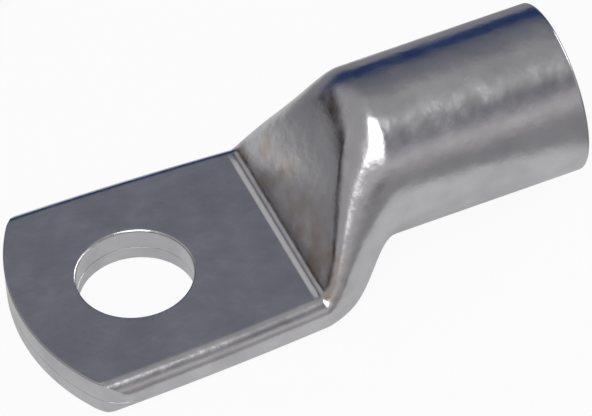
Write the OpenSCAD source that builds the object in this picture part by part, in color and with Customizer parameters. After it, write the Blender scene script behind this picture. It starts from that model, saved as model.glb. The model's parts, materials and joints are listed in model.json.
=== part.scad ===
// Tinned tubular cable lug for one stranded conductor and one terminal stud.
// A length of round tube: one end stays round and takes the cable, and the
// other end is pressed flat into a palm, two walls thick, with a stud hole.
//
// Frame: millimetres, +Z up. The origin is the stud hole's centre, halfway
// through the palm, and +X runs along the lug towards the cable entry.

/* [Barrel] */
// Outside diameter of the round barrel
barrel_od = 19; // [17:0.5:21]
// Inside diameter of the barrel, which takes the stranded cable
bore_d = 14.6; // [13:0.2:15.6]
// Length of the barrel that stays fully round
barrel_len = 22; // [16:0.2:34]
// Height of the barrel's axis above the middle of the palm's thickness
axis_height = 8.55; // [7.5:0.05:9.8]
// Width of the small bevel round the cable entry
mouth_bevel = 0.4; // [0.2:0.1:0.8]

/* [Palm] */
// Thickness of the palm, the two tube walls pressed together
palm_t = 4.3; // [3.6:0.1:5]
// Width of the palm at its free end
palm_end_w = 30; // [27:0.2:33]
// Width of the palm at the fold, where the shoulder starts
palm_fold_w = 27.5; // [24:0.2:29]
// Distance from the stud hole's centre to the free end
end_distance = 13.4; // [11:0.1:17]
// Distance from the stud hole's centre to the fold
fold_distance = 16.5; // [12:0.1:22]
// Radius of the free end's long curve
end_r = 25; // [18:1:40]
// Radius of the two corners at the free end
corner_r = 5; // [3:0.5:8]
// Radius of the folds along the palm's two long edges
edge_r = 1.9; // [1:0.1:2.1]

/* [Stud hole] */
// Diameter of the stud hole, for an M12 stud
stud_hole_d = 12.7; // [8:0.1:14]
// Radius of the rolled rims of the stud hole
rim_r = 0.3; // [0.2:0.1:0.8]

/* [Shoulder] */
// Length of the shoulder from the fold to the round barrel
shoulder_len = 11; // [9:0.1:14]
// Sharpness of the bend at the fold, from soft to sharp
fold_sharpness = 0.85; // [0.3:0.05:0.9]
// Sharpness of the bend where the shoulder meets the barrel
crown_sharpness = 0.55; // [0.3:0.05:0.9]
// How long the sides stay wide while the top rises, 1 for not at all
side_lag = 1.7; // [1:0.1:4]
// How long the widest line stays low while the top rises, 1 for not at all
belly_lag = 4.2; // [1:0.1:4]
// How long the top's shoulders stay square while the top rises, 1 for not at all
crown_lag = 0.9; // [0.4:0.1:2]
// How long the underside stays flat while the top rises, 1 for not at all
sole_lag = 1.0; // [1:0.1:4]
// Half angle of the barrel's crown that the flat facet runs into
facet_angle = 14; // [8:1:30]

/* [Hidden] */

// Smoothness of the exact round surfaces
$fn = 96;

wall = (barrel_od - bore_d) / 2;
barrel_r = barrel_od / 2;
bore_r = bore_d / 2;
stud_r = stud_hole_d / 2;
shoulder_end = fold_distance + shoulder_len;
lug_end = shoulder_end + barrel_len;

// Points on each quarter of a ring: one flat run and one round run
flat_steps = 5;
round_steps = 13;
// Rings along the shoulder, along the cavity inside it and along the palm
shoulder_rings = 26;
cavity_rings = 16;
palm_rings = 8;
// Steps along the curves of the free end and of the stud hole's rims
end_steps = 12;
corner_steps = 8;
rim_steps = 4;
// What a cutter reaches past the surface it cuts
over = 1;
// Each loft is this much slimmer than the round surface that takes over from it
skin = 0.02;
// Half the gap that is left between the walls where the cavity closes
pinch = 0.05;
// Extra side wall, as a share of the wall, where the flanks draw in fastest
flank_allowance = 3;
// The end corners' arcs run out this far beyond the palm's edges
corner_run_out = 0.05;

// Steepest slope of the shoulder's top, and how far along the lug the cavity
// lags behind the outside so that the wall keeps its thickness there
slope = atan2(
    1.5 * (axis_height + barrel_r - palm_t / 2),
    0.75 * shoulder_len * (crown_sharpness + fold_sharpness));
cavity_lag = wall * tan(slope / 2);

function mix(a, b, e) = a * (1 - e) + b * e;

// Half width of the palm at a distance x from the stud hole: it flares
// towards the free end along a parabola
function palm_half(x) =
    let (e = (x + end_distance) / (fold_distance + end_distance))
    (palm_end_w - (palm_end_w - palm_fold_w) * e * abs(e)) / 2;

// Quarter of a ring as [across, up] points from its centre line to its side,
// with the half width and the height both 1. In the pressed quarter a flat run
// reaches out to the share flat_share, and a rounded edge follows.
function pressed_quarter(flat_share) = concat(
    [for (i = [0 : flat_steps - 1]) [flat_share * i / flat_steps, 1]],
    [for (i = [0 : round_steps])
        let (a = 90 * i / round_steps)
        [flat_share + (1 - flat_share) * sin(a), cos(a)]]);

// In the round quarter the flat run's points crowd into the facet angle
function round_quarter() = concat(
    [for (i = [0 : flat_steps - 1])
        let (a = facet_angle * i / flat_steps)
        [sin(a), cos(a)]],
    [for (i = [0 : round_steps])
        let (a = facet_angle + (90 - facet_angle) * i / round_steps)
        [sin(a), cos(a)]]);

// Ring at x: half width w, heights up and down from its widest line at z, and
// the shares of the way from pressed to round of its top and its underside
function ring(x, w, z, up, down, top_share, sole_share, flat_share) =
    let (
        top = mix(pressed_quarter(flat_share), round_quarter(), top_share),
        sole = mix(pressed_quarter(flat_share), round_quarter(), sole_share),
        n = len(top) - 1)
    concat(
        [for (i = [0 : n - 1]) [x, w * top[i][0], z + up * top[i][1]]],
        [for (i = [n : -1 : 1]) [x, w * sole[i][0], z - down * sole[i][1]]],
        [for (i = [0 : n - 1]) [x, -w * sole[i][0], z - down * sole[i][1]]],
        [for (i = [n : -1 : 1]) [x, -w * top[i][0], z + up * top[i][1]]]);

// Ring across the palm
function palm_ring(x) =
    let (w = palm_half(x))
    ring(x, w, 0, palm_t / 2, palm_t / 2, 0, 0, 1 - edge_r / w);

// Share of the shoulder's height, and its distance from the fold, at a share s
// of its rings
function rise_at(s) = s * s * (3 - 2 * s);
function run_at(s) = shoulder_len
    * (3 * (1 - s) * (1 - s) * s * (1 - fold_sharpness) + 3 * (1 - s) * s * s * crown_sharpness + s * s * s);

// Heights of the shoulder's top and underside at a share of its rise
function top_at(rise) = mix(palm_t / 2, axis_height + barrel_r - skin, rise);
function sole_at(rise) = mix(-palm_t / 2, axis_height - barrel_r + skin, rise);

// Half width and widest line of the shoulder at a share of its rise
function side_at(rise) = mix(palm_half(fold_distance), barrel_r - skin, pow(rise, side_lag));
function belly_at(rise) = axis_height * pow(rise, belly_lag);

// Ring across the outside of the shoulder
function shoulder_ring(s) =
    let (rise = rise_at(s), z = belly_at(rise))
    ring(fold_distance + run_at(s), side_at(rise), z,
        top_at(rise) - z, z - sole_at(rise),
        pow(rise, crown_lag), pow(rise, sole_lag),
        1 - edge_r / palm_half(fold_distance));

// Ring across the cavity, a wall's thickness inside the shoulder
function cavity_ring(s) =
    let (
        rise = rise_at(s),
        top = top_at(rise) - wall,
        sole = min(sole_at(rise) + wall, top - 2 * pinch),
        z = min(max(belly_at(rise), sole + pinch), top - pinch))
    ring(fold_distance + cavity_lag + run_at(s),
        side_at(rise) - wall * (1 + flank_allowance * (1 - rise) * sqrt(rise) + (1 - rise) / 2), z,
        top - z, z - sole,
        pow(rise, crown_lag / 3), pow(rise, sole_lag / 2),
        1 - edge_r / palm_half(fold_distance));

// Centre of a ring
function ring_centre(r) = [for (k = [0 : 2]) (min([for (p = r) p[k]]) + max([for (p = r) p[k]])) / 2];

// Solid skin over a list of rings, closed at each end by a fan of triangles
// from the ring's centre
module loft(rings) {
    n = len(rings[0]);
    m = len(rings);
    points = concat(
        [for (r = rings) each r],
        [ring_centre(rings[0]), ring_centre(rings[m - 1])]);
    side_faces = [for (j = [0 : m - 2], i = [0 : n - 1])
        let (a = j * n + i, b = j * n + (i + 1) % n)
        each [[a, b, b + n], [a, b + n, a + n]]];
    first_end = [for (i = [0 : n - 1]) [(i + 1) % n, i, m * n]];
    last_end = [for (i = [0 : n - 1]) [(m - 1) * n + i, (m - 1) * n + (i + 1) % n, m * n + 1]];
    polyhedron(points, concat(side_faces, first_end, last_end));
}

// Outside of the lug: palm, shoulder and the start of the barrel
module pressed_blank() {
    tail_x = -end_distance - over;
    full = barrel_r - skin;
    loft(concat(
        [for (k = [0 : palm_rings - 1]) palm_ring(mix(tail_x, fold_distance, k / palm_rings))],
        [for (k = [0 : shoulder_rings]) shoulder_ring(k / shoulder_rings)],
        [ring(shoulder_end + over, full, axis_height, full, full, 1, 1, 0)]));
}

// Hollow of the shoulder, closing to a slit where the two walls meet
module shoulder_cavity() {
    full = bore_r - skin;
    loft(concat(
        [for (k = [0 : cavity_rings]) cavity_ring(k / cavity_rings)],
        [ring(shoulder_end + cavity_lag + over, full, axis_height, full, full, 1, 1, 0)]));
}

// Round bore that takes the cable, with its bevelled mouth
module cable_bore() {
    bore_start = shoulder_end + cavity_lag;
    translate([bore_start, 0, axis_height]) rotate([0, 90, 0])
        cylinder(r = bore_r, h = lug_end + over - bore_start);
    translate([lug_end - mouth_bevel, 0, axis_height]) rotate([0, 90, 0])
        cylinder(r1 = bore_r, r2 = bore_r + mouth_bevel + over, h = mouth_bevel + over);
}

// Everything beyond the free end: its long curve and its two round corners
module free_end_offcut() {
    centre_x = end_r - end_distance;
    side = palm_half(corner_r - end_distance) + corner_run_out;
    turn = asin((side - corner_r) / (end_r - corner_r));
    corner_x = centre_x - (end_r - corner_r) * cos(turn);
    far_x = -end_distance - 3 * over;
    corner = [for (k = [0 : corner_steps])
        let (a = mix(90, turn, k / corner_steps))
        [corner_x - corner_r * cos(a), side - corner_r + corner_r * sin(a)]];
    curve = [for (k = [1 : end_steps - 1])
        let (a = mix(turn, -turn, k / end_steps))
        [centre_x - end_r * cos(a), end_r * sin(a)]];
    other_corner = [for (k = [corner_steps : -1 : 0]) [corner[k][0], -corner[k][1]]];
    translate([0, 0, -palm_t / 2 - over])
        linear_extrude(palm_t + 2 * over)
            polygon(concat(
                [[far_x, side + over], [corner_x, side + over]],
                corner, curve, other_corner,
                [[corner_x, -side - over], [far_x, -side - over]]));
}

// Stud hole through both walls, with a rolled rim on each side
module stud_hole() {
    cylinder(r = stud_r, h = palm_t + 2 * over, center = true);
    rim = [for (k = [0 : rim_steps])
        let (a = 90 * k / rim_steps)
        [stud_r + rim_r - rim_r * cos(a), -rim_r * (1 - sin(a))]];
    for (turned = [0, 1])
        mirror([0, 0, turned]) translate([0, 0, palm_t / 2])
            rotate_extrude()
                polygon(concat(rim, [[stud_r + rim_r, over], [stud_r - over, over], [stud_r - over, -rim_r]]));
}

module cable_lug() {
    color([0.80, 0.79, 0.80])
    difference() {
        union() {
            pressed_blank();
            translate([shoulder_end, 0, axis_height]) rotate([0, 90, 0])
                cylinder(r = barrel_r, h = barrel_len);
        }
        shoulder_cavity();
        cable_bore();
        free_end_offcut();
        stud_hole();
    }
}

cable_lug();
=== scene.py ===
"""Dresses the tinned cable lug: a round tube with one end pressed flat.

Metres, in the lug's own frame: the origin is the stud hole's centre, halfway
through the palm, +X runs towards the cable entry and +Z is up.
"""
import json
from math import asin, atan2, cos, pi, radians, sin, sqrt, tan

import bpy
from mathutils import Matrix, Vector


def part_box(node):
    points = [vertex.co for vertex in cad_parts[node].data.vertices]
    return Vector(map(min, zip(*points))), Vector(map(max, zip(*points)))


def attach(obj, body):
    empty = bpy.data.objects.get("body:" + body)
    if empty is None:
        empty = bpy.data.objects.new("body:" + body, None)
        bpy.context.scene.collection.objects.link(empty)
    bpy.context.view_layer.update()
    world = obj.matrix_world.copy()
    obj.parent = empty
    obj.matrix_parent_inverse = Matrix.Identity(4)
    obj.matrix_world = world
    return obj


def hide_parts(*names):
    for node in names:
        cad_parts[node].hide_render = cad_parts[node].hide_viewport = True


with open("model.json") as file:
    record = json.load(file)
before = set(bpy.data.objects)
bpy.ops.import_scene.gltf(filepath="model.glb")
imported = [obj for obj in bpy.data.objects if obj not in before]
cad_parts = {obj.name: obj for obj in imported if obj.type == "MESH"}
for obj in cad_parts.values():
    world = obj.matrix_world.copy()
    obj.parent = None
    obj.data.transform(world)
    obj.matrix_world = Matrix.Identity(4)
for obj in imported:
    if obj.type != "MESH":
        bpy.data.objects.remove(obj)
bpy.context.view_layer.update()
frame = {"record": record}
MM = 0.001

# Sizes read from the lug's own solid, in millimetres
LOW, HIGH = (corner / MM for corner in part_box("cable_lug"))
MOUNTS = {mount["name"]: mount for mount in frame["record"]["mounts"]}
STUD_R = MOUNTS["stud_hole"]["dims"]["r_mm"]
BORE_R = MOUNTS["cable_barrel"]["dims"]["r_mm"]
END_DISTANCE = -LOW.x
END_HALF = HIGH.y
LUG_END = HIGH.x
PALM_HALF_T = -LOW.z

# Sizes of the pressed tube, in millimetres
BARREL_R = 9.5
AXIS_HEIGHT = HIGH.z - BARREL_R
FOLD = 16.5
FOLD_HALF = 13.75
SHOULDER = 11.0
EDGE_R = 1.9
END_R = 25.0
CORNER_R = 5.0
WALL = BARREL_R - BORE_R
SHOULDER_END = FOLD + SHOULDER

# Bends of the shoulder, as shares
FOLD_SHARPNESS = 0.85
CROWN_SHARPNESS = 0.55
SIDE_LAG = 1.7
BELLY_LAG = 4.2
CROWN_LAG = 0.9
SOLE_LAG = 1.0
FACET_ANGLE = radians(14)

# Hollow of the shoulder: half its least height, in millimetres, and how
# strongly its side walls thicken where the flanks draw in
PINCH = 0.05
FLANK_ALLOWANCE = 3

# Small edges, in millimetres
RIM_R = 0.3
END_ROUND = 0.22
MOUTH_ROUND = 0.35

# Hairline seam between the palm's two walls, in millimetres
SEAM_HEIGHT = -0.35
SEAM_DEPTH = 0.1
SEAM_HALF = 0.05

# Low bead along the fold, in millimetres
BEAD_HEIGHT = 0.28
BEAD_RISE = 0.65
BEAD_FALL = 0.15
BEAD_START = FOLD - BEAD_RISE - BEAD_FALL

# In millimetres: how far the cutters and the palm's uncut end run over, how far
# a cutter's round edge clears the palm, and how far its corners clear the sides
OVER = 1
EDGE_LIFT = 0.01
CORNER_RUN_OUT = 0.05

# Distance from the shoulder to the last ring of the bore, in millimetres
BORE_SET_BACK = 2

# Fineness of the skin and of the cutters
FLAT_STEPS = 14
ROUND_STEPS = 34
PALM_RINGS = 36
BEAD_RINGS = 20
SHOULDER_RINGS = 110
BARREL_RINGS = 12
CAVITY_RINGS = 40
ARC_STEPS = 5
HOLE_STEPS = 160
END_STEPS = 64
CORNER_STEPS = 20
SMOOTH_ANGLE = radians(32)

# Tin plate: linear colours, roughness, and its patterns' scales per metre and
# depths in millimetres
TIN_DULL = (0.60, 0.595, 0.61)
TIN_BRIGHT = (0.70, 0.69, 0.70)
TIN_THIN = (0.50, 0.42, 0.33, 1)
# Rubbed tin on the fold's bead, made near white as a painted highlight
TIN_RUBBED_HIGHLIGHT = (0.92, 0.91, 0.9, 1)
SMOOTHEST = 0.16
ROUGHEST = 0.28
PATCH_SCALE = 260
THIN_SCALE = 330
SHEEN_SCALE = 420
DENT_SCALE = 480
GRAIN_SCALE = 2600
DENT_DEPTH = 0.055
GRAIN_DEPTH = 0.0015

# Where the plate is thin: how strongly it shows, then in millimetres where past
# the fold it is in full, starts to fade and ends, how far it reaches below the
# palm's top, and the centre, radius and core of the spot at the facet's tip
THIN_SHARE = 0.75
THIN_START = 0.6
THIN_FADE = 0.8
THIN_END = 5
THIN_BELOW = 0.3
FACET_TIP = (24.6, 0.6, 15.2)
TIP_R = 1.4
TIP_CORE_R = 0.3

# Half the height, at the palm's top, over which the bead's rubbed tin and painted highlight set in
RUBBED_HIGHLIGHT_BLUR = 0.02

# Camera: its angles, its place in millimetres from the middle of the palm's
# top, and its lens
CAMERA_AZIMUTH = radians(19.9)
CAMERA_ELEVATION = radians(45.63)
CAMERA_ROLL = radians(-4.66)
CAMERA_DISTANCE = 666.7
CAMERA_ASIDE = 17.25
CAMERA_ABOVE = 7.0
CAMERA_LENS = 378.8

# Studio walls: degrees above the horizon, and the linear colour there
BEHIND = ((0, (0.05, 0.075, 0.15)), (7, (0.015, 0.035, 0.12)), (21, (0.018, 0.045, 0.15)),
          (27, (0.1, 0.12, 0.17)), (34, (0.155, 0.16, 0.19)), (45, (0.18, 0.19, 0.235)),
          (60, (0.22, 0.22, 0.24)), (80, (0.28, 0.275, 0.29)))
LEFT = ((0, (0.03, 0.025, 0.03)), (8, (0.04, 0.035, 0.04)), (16, (0.5, 0.49, 0.5)),
        (26, (0.42, 0.41, 0.42)), (60, (0.38, 0.38, 0.39)))
FRONT = ((0, (0.34, 0.33, 0.34)), (8, (0.4, 0.39, 0.4)), (18, (0.58, 0.57, 0.57)),
         (26, (0.48, 0.47, 0.49)), (36, (0.25, 0.245, 0.27)), (46, (0.16, 0.16, 0.18)),
         (58, (0.29, 0.29, 0.3)), (70, (0.4, 0.4, 0.41)), (85, (0.28, 0.275, 0.29)))

# Floor: a turned square pool of painted light, in metres, and its colours inside and outside
FLOOR_SIZE = 4
POOL_CENTRE = (0.0213, 0.0055)
POOL_TURN = radians(24.7)
POOL_CORNER = 0.006
POOL_HALF = 0.0335
POOL_END = 0.044
PAINTED_POOL_GLOW = ((1, 1, 1), (0.45, 0.45, 0.465))
PAINTED_POOL_MATT = ((0.6, 0.6, 0.6), (0.27, 0.27, 0.28))
# Shares of the floor's glow that the camera sees and that metal mirrors
SEEN_GLOW = 0.94
MIRRORED_GLOW = 0.25


def mix(a, b, share):
    """The value a share of the way from a to b."""
    return a * (1 - share) + b * share


# ---------------------------------------------------------------- pressed tube

def palm_half(x):
    """Half width of the palm, which flares towards the free end."""
    e = (x + END_DISTANCE) / (FOLD + END_DISTANCE)
    return END_HALF - (END_HALF - FOLD_HALF) * e * abs(e)


def fold_bead(x, y):
    """Low bead that the press leaves on the palm just before the fold."""
    rise = (x - FOLD + BEAD_RISE + BEAD_FALL) / BEAD_RISE
    fall = (FOLD - x) / BEAD_FALL
    run_out = (FOLD_HALF - EDGE_R - abs(y)) / BEAD_RISE
    share = max(0, min(1, rise, fall, run_out))
    return BEAD_HEIGHT * share * share * (3 - 2 * share)


def pressed_quarter(flat_share):
    """A flat run and a rounded edge, from the centre line to the side."""
    flat = [(flat_share * i / FLAT_STEPS, 1.0) for i in range(FLAT_STEPS)]
    turns = [pi / 2 * i / ROUND_STEPS for i in range(ROUND_STEPS + 1)]
    return flat + [(flat_share + (1 - flat_share) * sin(a), cos(a)) for a in turns]


def round_quarter():
    """A quarter circle whose first points crowd into the facet's angle."""
    turns = [FACET_ANGLE * i / FLAT_STEPS for i in range(FLAT_STEPS)]
    turns += [mix(FACET_ANGLE, pi / 2, i / ROUND_STEPS) for i in range(ROUND_STEPS + 1)]
    return [(sin(a), cos(a)) for a in turns]


def blend_quarters(share, flat_share):
    """A quarter a share of the way from pressed to round."""
    return [(mix(p[0], r[0], share), mix(p[1], r[1], share))
            for p, r in zip(pressed_quarter(flat_share), round_quarter())]


def ring(x, w, z, up, down, top_share, sole_share, flat_share):
    """Closed ring across the lug at x, from the top's centre line round."""
    top = blend_quarters(top_share, flat_share)
    sole = blend_quarters(sole_share, flat_share)
    last = len(top) - 1
    return ([(x, w * top[i][0], z + up * top[i][1]) for i in range(last)]
            + [(x, w * sole[i][0], z - down * sole[i][1]) for i in range(last, 0, -1)]
            + [(x, -w * sole[i][0], z - down * sole[i][1]) for i in range(last)]
            + [(x, -w * top[i][0], z + up * top[i][1]) for i in range(last, 0, -1)])


def palm_ring(x):
    """Ring across the flat palm, with the bead on its top."""
    w = palm_half(x)
    points = ring(x, w, 0, PALM_HALF_T, PALM_HALF_T, 0, 0, 1 - EDGE_R / w)
    return [(x, y, z + fold_bead(x, y) if z > 0 else z) for x, y, z in points]


def round_ring(x, radius):
    """Ring across the barrel, outside or inside."""
    return ring(x, radius, AXIS_HEIGHT, radius, radius, 1, 1, 0)


def shoulder_form(s):
    """Section at s, from 0 at the fold to 1 at the barrel.

    Gives its share of the rise, its distance from the fold, its top and
    underside, its half width and the height of its widest line.
    """
    rise = s * s * (3 - 2 * s)
    run = SHOULDER * (3 * (1 - s) ** 2 * s * (1 - FOLD_SHARPNESS)
                      + 3 * (1 - s) * s ** 2 * CROWN_SHARPNESS + s ** 3)
    top = mix(PALM_HALF_T, AXIS_HEIGHT + BARREL_R, rise)
    sole = mix(-PALM_HALF_T, AXIS_HEIGHT - BARREL_R, rise)
    side = mix(FOLD_HALF, BARREL_R, rise ** SIDE_LAG)
    belly = AXIS_HEIGHT * rise ** BELLY_LAG
    return rise, run, top, sole, side, belly


def shoulder_ring(s):
    """Ring across the outside of the shoulder."""
    rise, run, top, sole, side, belly = shoulder_form(s)
    return ring(FOLD + run, side, belly, top - belly, belly - sole,
                rise ** CROWN_LAG, rise ** SOLE_LAG, 1 - EDGE_R / FOLD_HALF)


def cavity_ring(s):
    """Ring inside the shoulder, a wall's thickness from the outside and rounder."""
    # Slope halfway up the facet, which sets how far the inside lags behind
    slope = atan2(1.5 * (AXIS_HEIGHT + BARREL_R - PALM_HALF_T),
                  0.75 * SHOULDER * (CROWN_SHARPNESS + FOLD_SHARPNESS))
    lag = WALL * tan(slope / 2)
    rise, run, top, sole, side, belly = shoulder_form(s)
    top -= WALL
    sole = min(sole + WALL, top - 2 * PINCH)
    belly = min(max(belly, sole + PINCH), top - PINCH)
    side -= WALL * (1 + FLANK_ALLOWANCE * (1 - rise) * sqrt(rise) + (1 - rise) / 2)
    return ring(FOLD + lag + run, side, belly, top - belly, belly - sole,
                rise ** (CROWN_LAG / 3), rise ** (SOLE_LAG / 2), 1 - EDGE_R / FOLD_HALF)


def mouth_rings():
    """Rounded rim of the cable entry, from the outside to the bore."""
    turns = [pi / 2 * i / ARC_STEPS for i in range(ARC_STEPS + 1)]
    outer = [round_ring(LUG_END - MOUTH_ROUND * (1 - sin(a)),
                        BARREL_R - MOUTH_ROUND * (1 - cos(a))) for a in turns]
    inner = [round_ring(LUG_END - MOUTH_ROUND * (1 - cos(a)),
                        BORE_R + MOUTH_ROUND * (1 - sin(a))) for a in turns]
    return outer + inner


# ---------------------------------------------------------------- mesh helpers

def deselect_all():
    """Leaves nothing selected for the next operator."""
    bpy.ops.object.select_all(action="DESELECT")


def activate(obj):
    """Selects one object alone and makes it the active one."""
    deselect_all()
    obj.select_set(True)
    bpy.context.view_layer.objects.active = obj


def skin(name, rings):
    """A closed skin over rings of points, shaped from a plain grid."""
    along, around = len(rings), len(rings[0])
    deselect_all()
    bpy.ops.mesh.primitive_grid_add(x_subdivisions=along - 1, y_subdivisions=around, size=1)
    obj = bpy.context.active_object
    obj.name = obj.data.name = name
    for vertex in obj.data.vertices:
        i = round((vertex.co.x + 0.5) * (along - 1))
        j = round((vertex.co.y + 0.5) * around) % around
        vertex.co = Vector(rings[i][j]) * MM
    bpy.ops.object.mode_set(mode="EDIT")
    bpy.ops.mesh.select_all(action="SELECT")
    bpy.ops.mesh.remove_doubles(threshold=1e-7)
    bpy.ops.mesh.select_all(action="DESELECT")
    bpy.ops.mesh.select_non_manifold()
    bpy.ops.mesh.edge_face_add()
    bpy.ops.mesh.select_all(action="SELECT")
    bpy.ops.mesh.normals_make_consistent(inside=False)
    bpy.ops.object.mode_set(mode="OBJECT")
    return obj


def apply_modifier(obj, kind, **settings):
    """Adds one modifier with its settings and applies it."""
    activate(obj)
    modifier = obj.modifiers.new(kind.title(), kind)
    for key, value in settings.items():
        setattr(modifier, key, value)
    bpy.ops.object.modifier_apply(modifier=modifier.name)


def cut(obj, cutter):
    """Takes a cutter's volume off the object and deletes the cutter."""
    apply_modifier(obj, "BOOLEAN", operation="DIFFERENCE", solver="EXACT", object=cutter)
    bpy.data.objects.remove(cutter)


# ---------------------------------------------------------------- cutters

def edge_levels(rounding):
    """Heights through the palm with the reach of a cutter's side at each."""
    turns = [pi / 2 * i / ARC_STEPS for i in range(ARC_STEPS + 1)]
    above = [(PALM_HALF_T + EDGE_LIFT - rounding * (1 - cos(a)), rounding * (1 - sin(a)))
             for a in turns]
    below = [(-z, reach) for z, reach in above]
    seam = [(SEAM_HEIGHT - SEAM_HALF, 0), (SEAM_HEIGHT, SEAM_DEPTH), (SEAM_HEIGHT + SEAM_HALF, 0)]
    return ([(-PALM_HALF_T - OVER, rounding)] + below + seam + above[::-1]
            + [(PALM_HALF_T + OVER, rounding)])


def stud_hole_cutter():
    """Round cutter that leaves rolled rims and the seam in the hole's wall."""
    turns = [2 * pi * i / HOLE_STEPS for i in range(HOLE_STEPS)]
    return skin("stud_hole_cutter", [
        [((STUD_R + reach) * cos(a), (STUD_R + reach) * sin(a), z) for a in turns]
        for z, reach in edge_levels(RIM_R)])


def free_end_outline(inset):
    """The free end's long curve and round corners, closed beyond the lug."""
    side = palm_half(CORNER_R - END_DISTANCE) + CORNER_RUN_OUT
    centre_x = END_R - END_DISTANCE
    turn = asin((side - CORNER_R) / (END_R - CORNER_R))
    corner_x = centre_x - (END_R - CORNER_R) * cos(turn)
    corner_r, end_r = CORNER_R - inset, END_R - inset
    corner_turns = [mix(pi / 2, turn, k / CORNER_STEPS) for k in range(CORNER_STEPS + 1)]
    corner = [(corner_x - corner_r * cos(a), side - CORNER_R + corner_r * sin(a))
              for a in corner_turns]
    curve_turns = [mix(turn, -turn, k / END_STEPS) for k in range(1, END_STEPS)]
    curve = [(centre_x - end_r * cos(a), end_r * sin(a)) for a in curve_turns]
    far = -END_DISTANCE - 4 * OVER
    beside = side + OVER
    return ([(far, beside), (corner_x, beside)] + corner + curve
            + [(x, -y) for x, y in reversed(corner)] + [(corner_x, -beside), (far, -beside)])


def free_end_cutter():
    """Cutter beyond the free end that leaves its rounded edges and the seam."""
    return skin("free_end_cutter", [
        [(x, y, z) for x, y in free_end_outline(reach)] for z, reach in edge_levels(END_ROUND)])


# ---------------------------------------------------------------- finish

def node_kit(tree):
    """Short calls that add a node to a tree and link its inputs."""
    def add(kind, inputs=None, **settings):
        node = tree.nodes.new("ShaderNode" + kind)
        for key, value in settings.items():
            setattr(node, key, value)
        for key, value in (inputs or {}).items():
            if isinstance(value, bpy.types.NodeSocket):
                tree.links.new(value, node.inputs[key])
            else:
                node.inputs[key].default_value = value
        return node

    def ramp(value, stops):
        node = add("ValToRGB", {"Fac": value})
        elements = node.color_ramp.elements
        while len(elements) < len(stops):
            elements.new(0.5)
        for element, (position, colour) in zip(elements, stops):
            element.position, element.color = position, (*colour, 1)
        return node.outputs["Color"]

    return add, ramp


def tinned_copper():
    """Satin tin plate with a soft mottle, thin and brownish just past the fold, and a painted
    highlight on the bead.
    """
    material = bpy.data.materials.new("tinned_copper")
    material.use_nodes = True
    tree = material.node_tree
    shader = tree.nodes["Principled BSDF"]
    shader.inputs["Metallic"].default_value = 1.0
    add, ramp = node_kit(tree)
    place = add("TexCoord").outputs["Object"]
    split = add("SeparateXYZ", {"Vector": place}).outputs

    def noise(scale, detail, rough=0.5):
        return add("TexNoise", {"Vector": place, "Scale": scale, "Detail": detail,
                                "Roughness": rough}).outputs["Fac"]

    def within(value, low, high):
        return add("MapRange", {"Value": value, "From Min": low * MM, "From Max": high * MM},
                   interpolation_type="SMOOTHSTEP").outputs["Result"]

    def times(a, b):
        return add("Math", {0: a, 1: b}, operation="MULTIPLY").outputs["Value"]

    plate = ramp(noise(PATCH_SCALE, 4), [(0.35, TIN_DULL), (0.65, TIN_BRIGHT)])
    beyond_fold = times(within(split["X"], FOLD, FOLD + THIN_START),
                        within(split["X"], FOLD + THIN_END, FOLD + THIN_FADE))
    thin = times(beyond_fold, within(split["Z"], PALM_HALF_T - THIN_BELOW, PALM_HALF_T))
    thin = times(thin, ramp(noise(THIN_SCALE, 3), [(0.42, (0, 0, 0)), (0.6, (1, 1, 1))]))
    tip = add("VectorMath", {0: place, 1: [c * MM for c in FACET_TIP]}, operation="DISTANCE")
    tip = within(tip.outputs["Value"], TIP_R, TIP_CORE_R)
    thin = add("Math", {0: thin, 1: tip}, operation="MAXIMUM").outputs["Value"]
    worn = add("Mix", {"Factor": times(thin, THIN_SHARE), "A": plate, "B": TIN_THIN},
               data_type="RGBA")
    # The bead's top: rubbed tin, made brighter as a painted highlight
    rubbed_highlight = times(within(split["X"], BEAD_START, FOLD - BEAD_RISE),
                   within(split["X"], FOLD, FOLD - BEAD_FALL))
    rubbed_highlight = times(rubbed_highlight, within(split["Z"], PALM_HALF_T - RUBBED_HIGHLIGHT_BLUR,
                                  PALM_HALF_T + RUBBED_HIGHLIGHT_BLUR))
    bright = add("Mix", {"Factor": rubbed_highlight, "A": worn.outputs["Result"], "B": TIN_RUBBED_HIGHLIGHT},
                 data_type="RGBA")
    tree.links.new(bright.outputs["Result"], shader.inputs["Base Color"])
    sheen = ramp(noise(SHEEN_SCALE, 5, 0.6), [(0.3, (SMOOTHEST,) * 3), (0.7, (ROUGHEST,) * 3)])
    tree.links.new(sheen, shader.inputs["Roughness"])
    dents = add("Bump", {"Height": noise(DENT_SCALE, 3), "Strength": 1.0,
                         "Distance": DENT_DEPTH * MM})
    grain = add("Bump", {"Height": noise(GRAIN_SCALE, 4), "Strength": 1.0,
                         "Distance": GRAIN_DEPTH * MM, "Normal": dents.outputs["Normal"]})
    tree.links.new(grain.outputs["Normal"], shader.inputs["Normal"])
    return material


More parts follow.
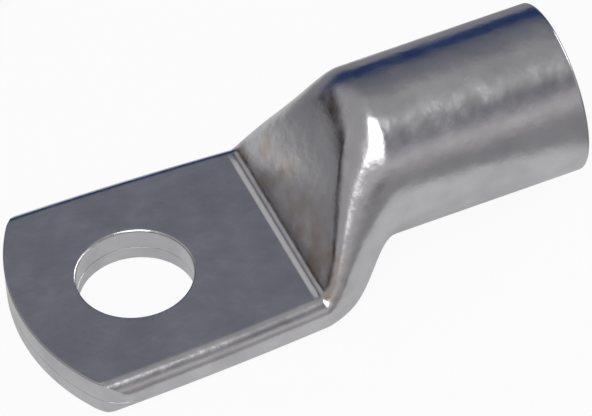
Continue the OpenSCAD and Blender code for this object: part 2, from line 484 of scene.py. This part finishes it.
def dress_lug():
    """The whole lug as one skin, outside and inside, with its end and hole cut."""
    tail = -END_DISTANCE - OVER
    outside = [palm_ring(mix(tail, BEAD_START, k / PALM_RINGS)) for k in range(PALM_RINGS)]
    outside += [palm_ring(mix(BEAD_START, FOLD, k / BEAD_RINGS)) for k in range(BEAD_RINGS)]
    outside += [shoulder_ring(k / SHOULDER_RINGS) for k in range(SHOULDER_RINGS + 1)]
    mouth_start = LUG_END - MOUTH_ROUND
    outside += [round_ring(mix(SHOULDER_END, mouth_start, k / BARREL_RINGS), BARREL_R)
                for k in range(1, BARREL_RINGS)]
    bore_end = SHOULDER_END + BORE_SET_BACK
    inside = [round_ring(mix(mouth_start, bore_end, k / BARREL_RINGS), BORE_R)
              for k in range(1, BARREL_RINGS)]
    inside += [cavity_ring(k / CAVITY_RINGS) for k in range(CAVITY_RINGS, -1, -1)]
    lug = skin("lug", outside + mouth_rings() + inside)
    cut(lug, free_end_cutter())
    cut(lug, stud_hole_cutter())
    activate(lug)
    bpy.ops.object.shade_smooth_by_angle(angle=SMOOTH_ANGLE)
    apply_modifier(lug, "WEIGHTED_NORMAL", mode="FACE_AREA", keep_sharp=True)
    lug.data.materials.clear()
    lug.data.materials.append(tinned_copper())
    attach(lug, "root")
    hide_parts("cable_lug")


# ---------------------------------------------------------------- studio

def add_camera():
    """Long lens that looks down on the palm's near side and the shoulder."""
    azimuth, elevation, roll = CAMERA_AZIMUTH, CAMERA_ELEVATION, CAMERA_ROLL
    back = Vector((-sin(azimuth) * cos(elevation), -cos(azimuth) * cos(elevation), sin(elevation)))
    level = Vector((cos(azimuth), -sin(azimuth), 0))
    upright = back.cross(level)
    right = cos(roll) * level + sin(roll) * upright
    up = cos(roll) * upright - sin(roll) * level
    target = Vector((0, 0, PALM_HALF_T))
    place = target + CAMERA_DISTANCE * back + CAMERA_ASIDE * right + CAMERA_ABOVE * up
    camera = bpy.data.objects.new("camera", bpy.data.cameras.new("camera"))
    bpy.context.scene.collection.objects.link(camera)
    camera.data.lens = CAMERA_LENS
    turn = Matrix((right, up, back)).transposed().to_4x4()
    camera.matrix_world = Matrix.Translation(place * MM) @ turn
    camera.data.clip_start, camera.data.clip_end = 0.01, 10
    bpy.context.scene.camera = camera


def add_world():
    """Soft studio: dark behind the lug, lighter overhead, to the left and in front."""
    world = bpy.data.worlds.new("studio")
    bpy.context.scene.world = world
    world.use_nodes = True
    add, ramp = node_kit(world.node_tree)
    place = add("TexCoord").outputs["Generated"]
    height = add("SeparateXYZ", {"Vector": place}).outputs["Z"]

    def wall(stops):
        return ramp(height, [(sin(radians(up)), colour) for up, colour in stops])

    def facing(azimuth, start, end):
        a = radians(azimuth)
        towards = add("VectorMath", {0: place, 1: (cos(a), sin(a), 0)}, operation="DOT_PRODUCT")
        return add("MapRange", {"Value": towards.outputs["Value"], "From Min": start,
                                "From Max": end}, interpolation_type="SMOOTHSTEP").outputs["Result"]

    left = facing(azimuth=180, start=-0.3, end=0.5)
    sides = add("Mix", {"Factor": left, "A": wall(FRONT), "B": wall(LEFT)}, data_type="RGBA")
    behind = facing(azimuth=58, start=0.25, end=0.7)
    around = add("Mix", {"Factor": behind, "A": sides.outputs["Result"], "B": wall(BEHIND)},
                 data_type="RGBA")
    background = world.node_tree.nodes["Background"]
    world.node_tree.links.new(around.outputs["Result"], background.inputs["Color"])


def add_floor():
    """Pale table with a whiter pool of painted light under the lug."""
    deselect_all()
    bpy.ops.mesh.primitive_plane_add(size=FLOOR_SIZE, location=(0, 0, LOW.z * MM))
    floor = bpy.context.active_object
    floor.name = "floor"
    material = bpy.data.materials.new("pale_floor")
    material.use_nodes = True
    tree = material.node_tree
    tree.nodes.remove(tree.nodes["Principled BSDF"])
    add, ramp = node_kit(tree)
    place = add("TexCoord").outputs["Object"]
    centred = add("Mapping", {"Vector": place, "Location": (-POOL_CENTRE[0], -POOL_CENTRE[1], 0)})
    turned = add("VectorRotate", {"Vector": centred.outputs["Vector"], "Angle": POOL_TURN},
                 rotation_type="Z_AXIS")
    split = add("SeparateXYZ", {"Vector": turned.outputs["Vector"]})
    sides = [add("Math", {0: split.outputs[axis]}, operation="ABSOLUTE").outputs["Value"]
             for axis in "XY"]
    reach = add("Math", {0: sides[0], 1: sides[1], 2: POOL_CORNER}, operation="SMOOTH_MAX")
    # Painted pool of light: the floor is whiter inside the turned square and greyer outside
    share = add("MapRange", {"Value": reach.outputs["Value"], "From Min": POOL_HALF,
                             "From Max": POOL_END}, interpolation_type="SMOOTHSTEP")
    share = share.outputs["Result"]
    matt = add("BsdfDiffuse", {"Color": ramp(share, list(enumerate(PAINTED_POOL_MATT)))})
    glow = add("Emission", {"Color": ramp(share, list(enumerate(PAINTED_POOL_GLOW))), "Strength": 1.0})
    rays = add("LightPath").outputs
    mirrored = add("Math", {0: rays["Is Glossy Ray"], 1: rays["Is Transmission Ray"]},
                   operation="MAXIMUM")
    mirrored = add("Math", {0: mirrored.outputs["Value"], 1: MIRRORED_GLOW}, operation="MULTIPLY")
    seen = add("Math", {0: rays["Is Camera Ray"], 1: SEEN_GLOW, 2: mirrored.outputs["Value"]},
               operation="MULTIPLY_ADD")
    blend = add("MixShader", {"Fac": seen.outputs["Value"], 1: matt.outputs["BSDF"],
                              2: glow.outputs["Emission"]})
    tree.links.new(blend.outputs["Shader"], tree.nodes["Material Output"].inputs["Surface"])
    floor.data.materials.append(material)


def add_lamp(name, azimuth, elevation, wide, tall, brightness):
    """A soft lamp one metre off, facing the lug's shoulder, at a plain brightness."""
    a, e = radians(azimuth), radians(elevation)
    towards = Vector((cos(a) * cos(e), sin(a) * cos(e), sin(e)))
    lamp = bpy.data.objects.new(name, bpy.data.lights.new(name, "AREA"))
    bpy.context.scene.collection.objects.link(lamp)
    lamp.data.shape = "RECTANGLE"
    lamp.data.size, lamp.data.size_y = wide, tall
    lamp.data.energy = brightness * pi * wide * tall
    lamp.location = Vector((SHOULDER_END, 0, AXIS_HEIGHT)) * MM + towards
    lamp.rotation_euler = towards.to_track_quat("Z", "Y").to_euler()


dress_lug()
add_camera()
add_world()
add_floor()
add_lamp("key_lamp", azimuth=-120, elevation=57, wide=0.62, tall=0.85, brightness=3)
add_lamp("side_lamp", azimuth=12, elevation=30, wide=0.6, tall=0.5, brightness=3)

bpy.context.scene.view_settings.view_transform = "Standard"
